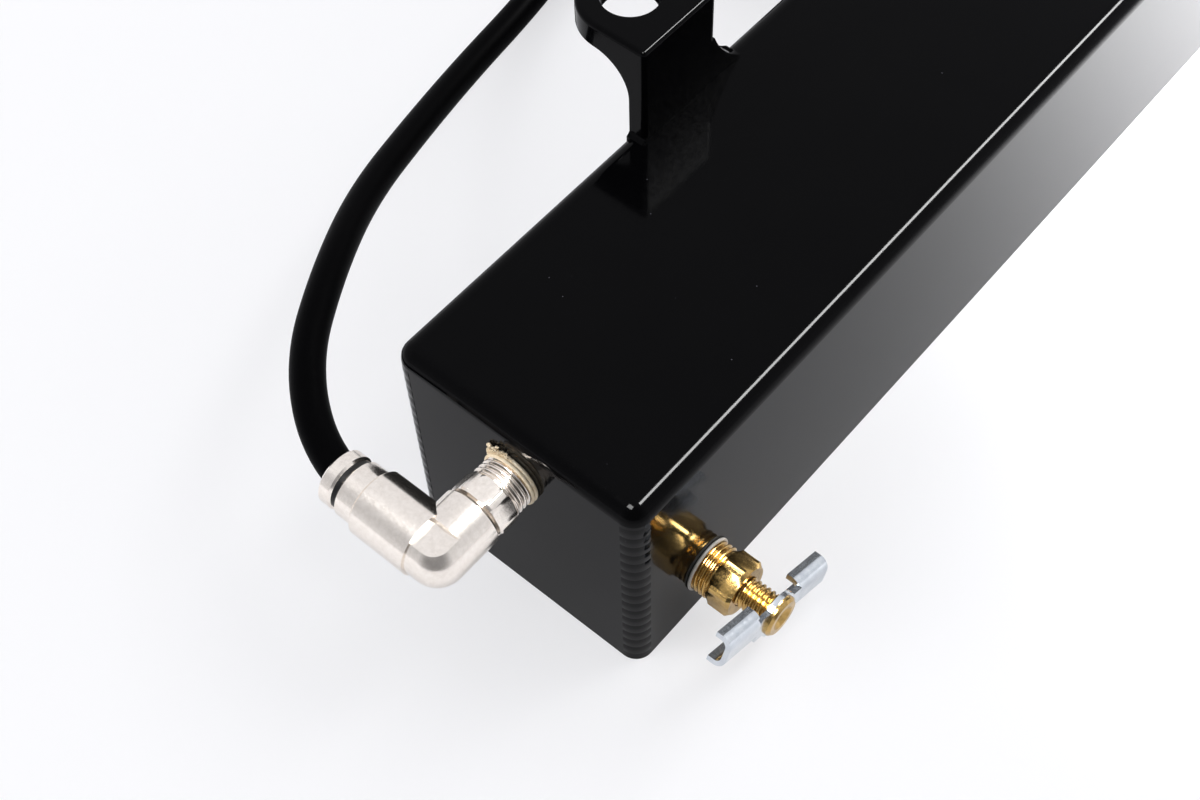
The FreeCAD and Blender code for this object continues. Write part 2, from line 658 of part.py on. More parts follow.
def front_bends(solid):
    """The two long edges along Y at the outer face of a handle's wing."""
    front = solid.BoundBox.ZMax
    return [edge for edge in solid.Edges
            if abs(edge.tangentAt(edge.FirstParameter).y) > 0.999 and edge.BoundBox.ZMin > front - 1e-6]


def hose():
    """The hose along its route: straight runs joined by the largest tangent arcs that fit."""
    start = BEND_CENTRE + LEFT * (TUBE_STOP + TUBE_FIT)
    points = [start, BEND_CENTRE + LEFT * HOSE_LEAD] + [V(*point) for point in HOSE_ROUTE]
    edges = []
    here = start
    for before, corner, after in zip(points, points[1:], points[2:]):
        arriving = (corner - before).normalize()
        leaving = (after - corner).normalize()
        half_turn = arriving.getAngle(leaving) / 2
        reach = 0.45 * min((corner - before).Length, (after - corner).Length)
        radius = reach / math.tan(half_turn)
        bisector = (leaving - arriving).normalize()
        middle = corner + bisector * (radius / math.cos(half_turn) - radius)
        edges.append(Part.LineSegment(here, corner - arriving * reach).toShape())
        here = corner + leaving * reach
        edges.append(Part.Arc(corner - arriving * reach, middle, here).toShape())
        print(f"hose radius at ({corner.x:.0f}, {corner.y:.0f}): {radius:.1f} mm")
    edges.append(Part.LineSegment(here, points[-1]).toShape())
    path = Part.Wire(edges)
    length = path.Length
    circle = Part.Wire(Part.makeCircle(TUBE_RADIUS, start, LEFT))
    tube = path.makePipeShell([circle], True, False)
    share = tube.Volume / (math.pi * TUBE_RADIUS ** 2 * length)
    print(f"hose length {length:.1f} mm, volume over section times length {share:.4f}")
    return tube


def hose_coil():
    """The outer shape of the tied coil: turns stacked a diameter apart, on the tie's thickness."""
    middle = COIL_DIAMETER / 2
    low = TIE_THICKNESS
    high = low + (COIL_TURNS + 1) * TUBE_DIAMETER
    section = block(V(middle - TUBE_RADIUS, 0, low), V(middle + TUBE_RADIUS, 1, high))
    face = [side for side in section.Faces if side.normalAt(0, 0).y < -0.999][0]
    ring = face.revolve(V(), UP, 360)
    ring = ring.makeFillet(COIL_ROUND, [edge for edge in ring.Edges if edge.Closed])
    ring.translate(V(COIL_CENTRE[0], COIL_CENTRE[1], 0))
    return ring


def coil_tie():
    """The strap round the coil's turns."""
    middle = COIL_DIAMETER / 2
    reach = TUBE_RADIUS + TIE_FIT
    low = TIE_THICKNESS
    high = low + (COIL_TURNS + 1) * TUBE_DIAMETER
    strap = block(V(middle - reach - TIE_THICKNESS, -TIE_WIDTH / 2, 0),
                  V(middle + reach + TIE_THICKNESS, TIE_WIDTH / 2, high + TIE_FIT + TIE_THICKNESS))
    inside = block(V(middle - reach, -TIE_WIDTH / 2, low), V(middle + reach, TIE_WIDTH / 2, high + TIE_FIT))
    strap = strap.cut(inside)
    strap.rotate(V(), UP, TIE_ANGLE)
    strap.translate(V(COIL_CENTRE[0], COIL_CENTRE[1], 0))
    return strap


def build():
    """All the pieces by name."""
    front_bracket = FRONT_Y + BRACKET_SETBACK
    rear_bracket = -FRONT_Y - BRACKET_SETBACK - BRACKET_WIDTH
    return {
        "can_shell": can_shell(),
        "base_plate": base_plate(),
        "corner_welds": corner_welds(),
        "inlet_bung": bung(INLET_SEAT, FRONT, STUD_SHOWING),
        "drain_bung": bung(DRAIN_SEAT, RIGHT, VALVE_SHOWING),
        "front_bracket": bracket(front_bracket),
        "rear_bracket": bracket(rear_bracket),
        "bracket_welds": Part.makeCompound(bracket_weld(front_bracket) + bracket_weld(rear_bracket)),
        "elbow_stud": elbow_stud(),
        "inlet_sealant": sealant(INLET_SEAT, FRONT, STUD_SHOWING, INLET_SEALANT_BAND, 2),
        "swivel_seal": swivel_seal(),
        "swivel_clip": swivel_clip(),
        "elbow_body": elbow_body(),
        "tube_seal": tube_seal(),
        "grip_ring": grip_ring(),
        "collet_housing": collet_housing(),
        "collet": collet(),
        "release_ring": release_ring(),
        "valve_body": valve_body(),
        "drain_sealant": sealant(DRAIN_SEAT, RIGHT, VALVE_SHOWING, DRAIN_SEALANT_BAND, 1),
        "valve_stem": valve_stem(),
        "stem_seal": stem_seal(),
        "wing_handle": wing_handle(),
        "hose": hose(),
        "hose_coil": hose_coil(),
        "coil_tie": coil_tie(),
    }


os.makedirs("parts", exist_ok=True)
for name, shape in build().items():
    shape.exportStep(os.path.join("parts", name + ".step"))
    print(f"{name}: {len(shape.Solids)} solid, valid {shape.isValid()}, volume {shape.Volume:.1f}")
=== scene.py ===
"""Looks of the catch can: finishes for every piece, cut threads, the hose, frayed sealant and the studio.

Lengths are millimetres in the part's frame, or metres where a docstring or comment says so.
"""
from __future__ import annotations

import json
import logging
import math
from dataclasses import dataclass, field
from enum import Enum

import bmesh
import bpy
import numpy as np
from mathutils import Matrix, Vector

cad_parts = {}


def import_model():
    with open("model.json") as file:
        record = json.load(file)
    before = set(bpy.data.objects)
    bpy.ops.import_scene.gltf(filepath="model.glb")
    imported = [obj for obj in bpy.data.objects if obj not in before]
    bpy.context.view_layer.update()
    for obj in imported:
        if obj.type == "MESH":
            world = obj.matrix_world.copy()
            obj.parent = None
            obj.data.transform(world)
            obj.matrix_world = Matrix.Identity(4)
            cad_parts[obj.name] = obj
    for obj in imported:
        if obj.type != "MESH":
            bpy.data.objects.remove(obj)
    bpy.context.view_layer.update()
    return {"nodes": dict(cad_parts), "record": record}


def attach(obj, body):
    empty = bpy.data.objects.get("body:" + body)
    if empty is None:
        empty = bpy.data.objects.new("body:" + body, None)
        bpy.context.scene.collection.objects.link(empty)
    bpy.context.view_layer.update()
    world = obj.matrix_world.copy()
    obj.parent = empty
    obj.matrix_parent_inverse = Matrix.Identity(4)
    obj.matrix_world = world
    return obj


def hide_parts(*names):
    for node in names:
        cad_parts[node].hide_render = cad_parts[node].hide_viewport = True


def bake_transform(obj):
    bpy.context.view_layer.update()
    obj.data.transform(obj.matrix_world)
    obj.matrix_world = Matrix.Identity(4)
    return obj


LOG = logging.getLogger("catch_can")
MM = 0.001

Point = tuple[float, float, float]

# Noise values between which a stained patch fades in, and between which the roughness rises.
PATCH_FADE = (0.35, 0.75)
GRAIN_FADE = (0.3, 0.7)
# Points of a mesh that lie nearer than this are joined, in metres.
WELD_DISTANCE = 2e-6
# Where the axes of the inlet and of the drain valve meet the can's walls, and their directions.
INLET_SEAT: Point = (0.0, -127.0, 37.4)
INLET_AXIS: Point = (0.0, -1.0, 0.0)
DRAIN_SEAT: Point = (26.0, -108.5, 11.5)
DRAIN_AXIS: Point = (1.0, 0.0, 0.0)
# Pitch of a 1/8 inch taper pipe thread.
PIPE_PITCH = 0.941


class Body(Enum):
    """CAD bodies that pieces ride on."""

    CAN = "can"
    ELBOW = "elbow"
    STEM = "stem"


class Row(Enum):
    """What limits the radius of a row of a turned surface."""

    ROUND = 0
    HEXAGON = 1
    THREAD = 2


def linear(colour: str) -> tuple[float, float, float, float]:
    """Converts an sRGB hex colour to linear light.

    Args:
        colour: Six hex digits, such as "c0b8a8".

    Returns:
        Red, green, blue and an alpha of one.
    """
    coded = np.array([int(colour[at:at + 2], 16) for at in (0, 2, 4)]) / 255.0
    light = np.where(coded <= 0.04045, coded / 12.92, ((coded + 0.055) / 1.055) ** 2.4)
    return (float(light[0]), float(light[1]), float(light[2]), 1.0)


def add_node(tree: bpy.types.NodeTree, kind: str, settings: dict | None = None,
             links: dict | None = None) -> bpy.types.Node:
    """Adds a node with its settings and incoming links.

    Args:
        tree: Node tree to add to.
        kind: Blender's name of the node type.
        settings: Property or input name to value.
        links: Input name or number to the output socket that feeds it.

    Returns:
        The new node.
    """
    node = tree.nodes.new(kind)
    for name, value in (settings or {}).items():
        if isinstance(name, str) and hasattr(node, name) and name not in node.inputs:
            setattr(node, name, value)
        else:
            node.inputs[name].default_value = value
    for name, output in (links or {}).items():
        tree.links.new(output, node.inputs[name])
    return node


def add_ramp(tree: bpy.types.NodeTree, source: bpy.types.NodeSocket,
             stops: list[tuple[float, tuple[float, float, float, float]]]) -> bpy.types.Node:
    """Adds a colour ramp.

    Args:
        tree: Node tree to add to.
        source: Output that feeds the ramp.
        stops: Position and colour of each stop.

    Returns:
        The ramp node.
    """
    ramp = add_node(tree, "ShaderNodeValToRGB", links={"Fac": source})
    elements = ramp.color_ramp.elements
    while len(elements) < len(stops):
        elements.new(1.0)
    for element, (position, colour) in zip(elements, stops):
        element.position = position
        element.color = colour
    return ramp


def grey(value: float) -> tuple[float, float, float, float]:
    """A grey for a ramp stop.

    Args:
        value: Linear brightness.

    Returns:
        Red, green, blue and an alpha of one.
    """
    return (value, value, value, 1.0)


@dataclass(frozen=True)
class Finish:
    """A surface finish with fine grain: colour and roughness both vary with noise, and a bump raises it.

    Attributes:
        name: Real material and process.
        colour: Main colour, sRGB hex.
        stain: Colour of the darker patches, sRGB hex.
        metallic: One for bare metal.
        roughness: Smoothest and roughest value.
        ior: Index of refraction.
        grain: Width of a noise cell, in millimetres.
        relief: Height of the bump, in millimetres.
        stain_width: Width of a patch, in millimetres.
        stain_share: Share of the stain in the darkest patches.
        stretch: Scale of the noise along X, Y and Z, for brushed or extruded surfaces.
    """

    name: str
    colour: str
    stain: str
    metallic: float = 0.0
    roughness: tuple[float, float] = (0.3, 0.4)
    ior: float = 1.5
    grain: float = 0.5
    relief: float = 0.01
    stain_width: float = 4.0
    stain_share: float = 0.5
    stretch: Point = (1.0, 1.0, 1.0)

    def material(self) -> bpy.types.Material:
        """Builds the material.

        Returns:
            A node material that reads Object coordinates only.
        """
        material = bpy.data.materials.new(self.name)
        material.use_nodes = True
        tree = material.node_tree
        shader = tree.nodes["Principled BSDF"]
        shader.inputs["Metallic"].default_value = self.metallic
        shader.inputs["IOR"].default_value = self.ior
        coordinates = add_node(tree, "ShaderNodeTexCoord")
        mapping = add_node(tree, "ShaderNodeMapping", {"Scale": self.stretch},
                           {"Vector": coordinates.outputs["Object"]})
        where = mapping.outputs["Vector"]
        patches = add_node(tree, "ShaderNodeTexNoise",
                           {"Scale": 1 / (self.stain_width * MM), "Detail": 5.0, "Roughness": 0.6},
                           {"Vector": where})
        clear, stained = PATCH_FADE
        spread = add_ramp(tree, patches.outputs["Fac"],
                          [(clear, grey(0.0)), (stained, grey(self.stain_share))])
        mixed = add_node(tree, "ShaderNodeMix", {"data_type": "RGBA"}, {0: spread.outputs["Color"]})
        mixed.inputs[6].default_value = linear(self.colour)
        mixed.inputs[7].default_value = linear(self.stain)
        tree.links.new(mixed.outputs[2], shader.inputs["Base Color"])
        fine = add_node(tree, "ShaderNodeTexNoise", {"Scale": 1 / (self.grain * MM), "Detail": 3.0},
                        {"Vector": where})
        smoothest, roughest = self.roughness
        from_noise, to_noise = GRAIN_FADE
        rough = add_node(tree, "ShaderNodeMapRange",
                         {"From Min": from_noise, "From Max": to_noise, "To Min": smoothest,
                          "To Max": roughest}, {"Value": fine.outputs["Fac"]})
        tree.links.new(rough.outputs["Result"], shader.inputs["Roughness"])
        bump = add_node(tree, "ShaderNodeBump", {"Strength": 1.0, "Distance": self.relief * MM},
                        {"Height": fine.outputs["Fac"]})
        tree.links.new(bump.outputs["Normal"], shader.inputs["Normal"])
        self.dress(tree, shader, where, bump)
        return material

    def dress(self, tree: bpy.types.NodeTree, shader: bpy.types.Node, where: bpy.types.NodeSocket,
              bump: bpy.types.Node) -> None:
        """Adds what a special finish has beyond the grain.

        Args:
            tree: The material's node tree.
            shader: Its surface shader.
            where: Scaled Object coordinates.
            bump: The grain's bump node.
        """


@dataclass(frozen=True)
class ScratchedMetal(Finish):
    """Bare or plated metal with fine handling scratches.

    Attributes:
        scratch_pitch: Sets the distance between scratches, which is about 0.6 of it, in millimetres.
        scratch_relief: Depth of a scratch, in millimetres.
        scratch_edge: Wave value under which a scratch is cut.
        waves: Scale of the wave in one scratch pitch.
    """

    scratch_pitch: float = 1.5
    scratch_relief: float = 0.004
    scratch_edge: float = 0.04
    waves: float = 0.5

    def dress(self, tree: bpy.types.NodeTree, shader: bpy.types.Node, where: bpy.types.NodeSocket,
              bump: bpy.types.Node) -> None:
        """Adds thin bent lines under the grain's bump, as a wave that noise distorts.

        Args:
            tree: The material's node tree.
            shader: Its surface shader.
            where: Scaled Object coordinates.
            bump: The grain's bump node.
        """
        wave = add_node(tree, "ShaderNodeTexWave",
                        {"Scale": self.waves / (self.scratch_pitch * MM), "Distortion": 9.0, "Detail": 3.0,
                         "Detail Scale": 1.2}, {"Vector": where})
        line = add_ramp(tree, wave.outputs["Fac"], [(0.0, grey(0.0)), (self.scratch_edge, grey(1.0))])
        scratch = add_node(tree, "ShaderNodeBump", {"Strength": 1.0, "Distance": self.scratch_relief * MM},
                           {"Height": line.outputs["Color"]})
        tree.links.new(scratch.outputs["Normal"], bump.inputs["Normal"])


@dataclass(frozen=True)
class DustyCoat(Finish):
    """Glossy powder coat: orange peel from the grain, and sparse dust specks.

    Attributes:
        dust: Colour of the specks, sRGB hex.
        dust_pitch: Mean distance between specks, in millimetres.
        dust_size: Radius of a speck, in millimetres.
        dust_share: Share of the dust's colour in a speck.
        dust_fade: Where a speck has faded out, in its own radius.
    """

    dust: str = "5a5a60"
    dust_pitch: float = 5.0
    dust_size: float = 0.08
    dust_share: float = 0.8
    dust_fade: float = 1.5

    def dress(self, tree: bpy.types.NodeTree, shader: bpy.types.Node, where: bpy.types.NodeSocket,
              bump: bpy.types.Node) -> None:
        """Mixes specks into the colour wherever a point is near the middle of a random cell.

        Args:
            tree: The material's node tree.
            shader: Its surface shader.
            where: Scaled Object coordinates.
            bump: The grain's bump node.
        """
        cells = add_node(tree, "ShaderNodeTexVoronoi", {"Scale": 1 / (self.dust_pitch * MM)},
                         {"Vector": where})
        near = self.dust_size / self.dust_pitch
        speck = add_ramp(tree, cells.outputs["Distance"],
                         [(near, grey(self.dust_share)), (near * self.dust_fade, grey(0.0))])
        base = shader.inputs["Base Color"].links[0].from_socket
        mixed = add_node(tree, "ShaderNodeMix", {"data_type": "RGBA"}, {0: speck.outputs["Color"], 6: base})
        mixed.inputs[7].default_value = linear(self.dust)
        tree.links.new(mixed.outputs[2], shader.inputs["Base Color"])


@dataclass(frozen=True)
class PaperFloor(Finish):
    """White paper that keeps part of the object's shadow and is otherwise plain white.

    Attributes:
        plain: Share of plain white that the camera sees.
        mirrored: Share of plain white in reflections, and through glass.
    """

    plain: float = 0.6
    mirrored: float = 0.15

    def dress(self, tree: bpy.types.NodeTree, shader: bpy.types.Node, where: bpy.types.NodeSocket,
              bump: bpy.types.Node) -> None:
        """Mixes plain white into the lit paper.

        Args:
            tree: The material's node tree.
            shader: Its surface shader.
            where: Scaled Object coordinates.
            bump: The grain's bump node.
        """
        rays = add_node(tree, "ShaderNodeLightPath").outputs
        mirror = add_node(tree, "ShaderNodeMath", {"operation": "MAXIMUM"},
                          {0: rays["Is Glossy Ray"], 1: rays["Is Transmission Ray"]})
        less = add_node(tree, "ShaderNodeMath", {"operation": "MULTIPLY", 1: self.mirrored},
                        {0: mirror.outputs[0]})
        share = add_node(tree, "ShaderNodeMath", {"operation": "MULTIPLY_ADD", 1: self.plain},
                         {0: rays["Is Camera Ray"], 2: less.outputs[0]})
        white = add_node(tree, "ShaderNodeEmission", {"Color": linear(self.colour), "Strength": 1.0})
        mixed = add_node(tree, "ShaderNodeMixShader",
                         links={0: share.outputs[0], 1: shader.outputs["BSDF"], 2: white.outputs["Emission"]})
        tree.links.new(mixed.outputs["Shader"], tree.nodes["Material Output"].inputs["Surface"])


class Finishes(Enum):
    """Every finish on the can by the record's material slot, and the floor's."""

    # Thermoset polyester powder, cured to a deep gloss: its skin reflects little except at a glancing angle.
    BLACK_POWDER_COAT = DustyCoat(
        "Gloss_black_powder_coat_on_aluminium", "040405", "060607", roughness=(0.07, 0.12), ior=1.14,
        grain=0.9, relief=0.002, stain_width=12.0, stain_share=0.6)
    # Turned from bar and left bare.
    BARE_ALUMINIUM = ScratchedMetal(
        "Turned_bare_aluminium", "b9babd", "8d8f93", metallic=1.0, roughness=(0.25, 0.4),
        grain=0.4, relief=0.006)
    # Bright nickel over forged brass: warm white with small dull patches and handling marks.
    NICKEL_PLATE = ScratchedMetal(
        "Bright_nickel_plate_on_forged_brass", "f7f0e8", "dcd2c6", metallic=1.0, roughness=(0.12, 0.22),
        grain=0.25, relief=0.003, stain_width=0.8, stain_share=0.45, scratch_pitch=1.6, scratch_relief=0.0008)
    # Free-cutting brass, turned from hexagon bar and slightly tarnished.
    VALVE_BRASS = ScratchedMetal(
        "Turned_brass_slightly_tarnished", "cba968", "80643a", metallic=1.0, roughness=(0.12, 0.26),
        grain=0.3, relief=0.003, stain_width=1.8, stain_share=0.75, scratch_relief=0.001)
    # Nitrile rubber, moulded.
    SEAL_RUBBER = Finish(
        "Moulded_nitrile_rubber", "161616", "202020", roughness=(0.55, 0.75), grain=0.2, relief=0.01)
    # Hardened strip and wire with an oiled surface.
    SPRING_STEEL = ScratchedMetal(
        "Oiled_spring_steel", "8e9094", "6a6c70", metallic=1.0, roughness=(0.25, 0.4),
        grain=0.3, relief=0.004)
    # Clear-passivated zinc on stamped steel: bluish white, faintly clouded.
    ZINC_PLATE = ScratchedMetal(
        "Bright_zinc_plate_on_stamped_steel", "d3d8dd", "aab3bc", metallic=1.0, roughness=(0.14, 0.24),
        grain=0.5, relief=0.002, stain_width=2.5, stain_share=0.5, scratch_relief=0.0008)
    # Acetal, moulded.
    BLACK_ACETAL = Finish(
        "Moulded_black_acetal", "060607", "0a0a0a", roughness=(0.3, 0.45), ior=1.3, grain=0.3, relief=0.006)
    # Nylon, extruded: smooth, with a faint cloud.
    BLACK_NYLON = Finish(
        "Extruded_black_nylon", "030304", "050506", roughness=(0.34, 0.42), ior=1.06, grain=0.8,
        relief=0.003, stain_width=9.0, stain_share=0.5)
    # Anaerobic pipe sealant with fibres, squeezed out by the thread and set.
    TAN_SEALANT = Finish(
        "Set_tan_pipe_sealant", "f6e8cf", "dfc699", roughness=(0.5, 0.7), ior=1.45, grain=0.25, relief=0.05,
        stain_width=0.8, stain_share=0.75)
    # Pipe sealant, pale grey.
    GREY_SEALANT = Finish(
        "Set_pale_grey_pipe_sealant", "b9b5ad", "8f897e", roughness=(0.5, 0.7), ior=1.45, grain=0.25,
        relief=0.04, stain_width=1.0, stain_share=0.6)
    # Heavy matt paper, spread under the object.
    WHITE_PAPER = PaperFloor(
        "Matt_white_paper_floor", "fcfcfe", "f8f8fb", roughness=(0.8, 0.9), ior=1.2, grain=2.0, relief=0.0,
        stain_width=80.0, stain_share=0.5)


def mesh_object(name: str, points: np.ndarray, quads: np.ndarray, sharp: float = 32.0,
                weld: bool = False) -> bpy.types.Object:
    """Makes a mesh object from points in millimetres.

    Args:
        name: Object name.
        points: Vertex positions, n by 3.
        quads: Vertex numbers of each face, m by 4.
        sharp: Edges that turn more than this many degrees are sharp.
        weld: Points in the same place are joined, and faces that vanish are dropped.

    Returns:
        The object, at the origin and linked to the scene.
    """
    mesh = bpy.data.meshes.new(name)
    mesh.vertices.add(len(points))
    mesh.vertices.foreach_set("co", (points * MM).astype(np.float32).ravel())
    mesh.loops.add(quads.size)
    mesh.loops.foreach_set("vertex_index", quads.astype(np.int32).ravel())
    mesh.polygons.add(len(quads))
    mesh.polygons.foreach_set("loop_start", np.arange(0, quads.size, 4, dtype=np.int32))
    mesh.update(calc_edges=True)
    mesh.validate()
    if weld:
        merged = bmesh.new()
        merged.from_mesh(mesh)
        bmesh.ops.remove_doubles(merged, verts=merged.verts, dist=WELD_DISTANCE)
        bmesh.ops.recalc_face_normals(merged, faces=merged.faces)
        merged.to_mesh(mesh)
        merged.free()
    mesh.shade_smooth()
    mesh.set_sharp_from_angle(angle=math.radians(sharp))
    made = bpy.data.objects.new(name, mesh)
    bpy.context.scene.collection.objects.link(made)
    return made


def lattice_quads(rows: int, columns: int, rows_close: bool, columns_close: bool) -> np.ndarray:
    """Faces of a grid of points.

    Args:
        rows: Number of rows.
        columns: Number of points in a row.
        rows_close: The last row joins the first.
        columns_close: The last point of a row joins its first.

    Returns:
        Vertex numbers of each face, m by 4.
    """
    row = np.arange(rows if rows_close else rows - 1)[:, None]
    column = np.arange(columns if columns_close else columns - 1)[None, :]
    next_row = (row + 1) % rows
    next_column = (column + 1) % columns
    corners = (row * columns + column, next_row * columns + column, next_row * columns + next_column,
               row * columns + next_column)
    return np.stack([corner + 0 * row + 0 * column for corner in corners], axis=-1).reshape(-1, 4)


@dataclass
class TurnedFitting:
    """A turned fitting as one closed polar surface about its axis.

    Attributes:
        name: Name of the new piece.
        node: CAD node it stands for.
        slot: Finish and material slot.
        body: Body it rides on.
        seat: Point on the wall where the axis starts.
        outward: Direction of the axis.
        hex_flats: Distance across the hexagon's flats.
        hex_angle: Angle of one hexagon corner from +Z, turning by the right-hand rule about the axis.
        pitch: Thread pitch.
        depth: Thread depth.
        outline: Distance along the axis, radius and kind of each row, round the section.
        flank: Steepness of a thread's flanks.
        root_flat: How far the thread's wave is lowered, which leaves its root flat.
        thread_rows: Rows in one turn of a thread.
        columns: Number of points round the axis.
    """

    name: str
    node: str
    slot: Finishes
    body: Body
    seat: Point
    outward: Point
    hex_flats: float
    hex_angle: float
    pitch: float
    depth: float
    outline: list[tuple[float, float, Row]]
    flank: float = 1.5
    root_flat: float = 0.2
    thread_rows: int = 10
    columns: int = 240

    def rows(self) -> np.ndarray:
        """Divides each thread run of the outline into fine rows and keeps the other rows as they are.

        A thread's rows start one turn before its run, because each climbs by a pitch on its way round.

        Returns:
            One column for each row: where it starts, its lowest and highest place along the axis, the
            radius at the lowest place, the radius's growth along the axis, and its kind.
        """
        found: list[np.ndarray] = []
        ends = self.outline[1:] + self.outline[:1]
        for (start, first, what), (end, last, then) in zip(self.outline, ends):
            run = what is Row.THREAD and then is Row.THREAD
            step = self.pitch / self.thread_rows
            count = math.ceil((end - start) / step) + self.thread_rows if run else 1
            begin = start - self.pitch + step * np.arange(count) if run else np.array([start])
            high = end if run else start
            slope = (last - first) / (end - start) if run else 0.0
            rest = np.repeat(np.array([[start], [high], [first], [slope], [what.value]]), count, axis=1)
            found.append(np.concatenate([begin[None, :], rest]))
        return np.concatenate(found, axis=1)

    def angles(self) -> np.ndarray:
        """Angles of the columns: even steps, with the hexagon's corners and turned edges among them.

        Returns:
            Angles in radians, rising from nothing to a full turn.
        """
        even = np.linspace(0, 2 * math.pi, self.columns + 1)
        widest = max([radius for _, radius, what in self.outline if what is Row.HEXAGON], default=0.0)
        if widest == 0.0:
            return even
        half = math.acos(min(1.0, self.hex_flats / 2 / widest))
        corner = math.radians(self.hex_angle) + np.arange(6) * math.pi / 3
        strip = math.pi / 6 - half
        exact = np.concatenate([corner - strip, corner, corner + strip]) % (2 * math.pi)
        return np.unique(np.round(np.concatenate([even, exact]), 5))

    def build(self) -> bpy.types.Object:
        """Makes the piece.

        The radius of a hexagon row is the lesser of its own radius and half the flats over the cosine of
        the angle from the nearest flat's middle. A thread row climbs by the pitch in a turn, and its radius
        falls by the depth times a flat-topped triangle wave of its start over the pitch.

        Returns:
            The object, riding on its body in place of its CAD node.
        """
        begin, low, high, first, slope, kind = (column[:, None] for column in self.rows())
        angle = self.angles()
        thread = kind == Row.THREAD.value
        turn = angle[None, :] / (2 * math.pi)
        along = np.clip(begin + np.where(thread, self.pitch * turn, 0.0), low, high)
        wide = first + slope * (along - low)
        offset = (angle - math.radians(self.hex_angle)) % (math.pi / 3) - math.pi / 6
        flat = self.hex_flats / 2 / np.cos(offset)
        wide = np.where(kind == Row.HEXAGON.value, np.minimum(wide, flat[None, :]), wide)
        phase = (along / self.pitch - turn) % 1.0
        crest = np.clip(self.flank * np.abs(2 * phase - 1) - self.root_flat, 0.0, 1.0)
        wide = np.where(thread, wide - self.depth * (1 - crest), wide)
        outward = np.array(self.outward)
        up = np.array((0.0, 0.0, 1.0))
        side = np.cross(outward, up)
        spoke = np.cos(angle)[:, None] * up + np.sin(angle)[:, None] * side
        points = np.array(self.seat) + along[:, :, None] * outward + wide[:, :, None] * spoke[None, :, :]
        quads = lattice_quads(len(along), len(angle), rows_close=True, columns_close=False)
        made = mesh_object(self.name, points.reshape(-1, 3), quads, weld=True)
        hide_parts(self.node)
        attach(made, self.body.value)
        return made


@dataclass(frozen=True)
class PipeEnd:
    """A taper pipe thread with a hexagon in front of it.

    Attributes:
        start: Where the thread starts behind the wall, along the axis.
        end: Where it ends in front of the wall.
        small: Radius of its crests at the start.
        large: Radius of its crests at the end.
        near: Where the hexagon starts.
        far: Where the hexagon ends.
        chamfer: Chamfer of the hexagon's ends.
        neck: Radius of the groove between thread and hexagon.
        corner: Radius that the hexagon's corners are turned to.
    """

    start: float
    end: float
    small: float
    large: float
    near: float
    far: float
    chamfer: float
    neck: float = 4.8
    corner: float = 5.6

    def outline(self) -> list[tuple[float, float, Row]]:
        """Lists the rows from the thread's start to the hexagon's far end.

        Returns:
            Distance along the axis, radius and kind of each row.
        """
        edge = self.corner - self.chamfer
        return [
            (self.start, self.small, Row.THREAD),
            (self.end, self.large, Row.THREAD),
            (self.end, self.neck, Row.ROUND),
            (self.near, self.neck, Row.ROUND),
            (self.near, edge, Row.HEXAGON),
            (self.near + self.chamfer, self.corner, Row.HEXAGON),
            (self.far - self.chamfer, self.corner, Row.HEXAGON),
            (self.far, edge, Row.HEXAGON),
        ]


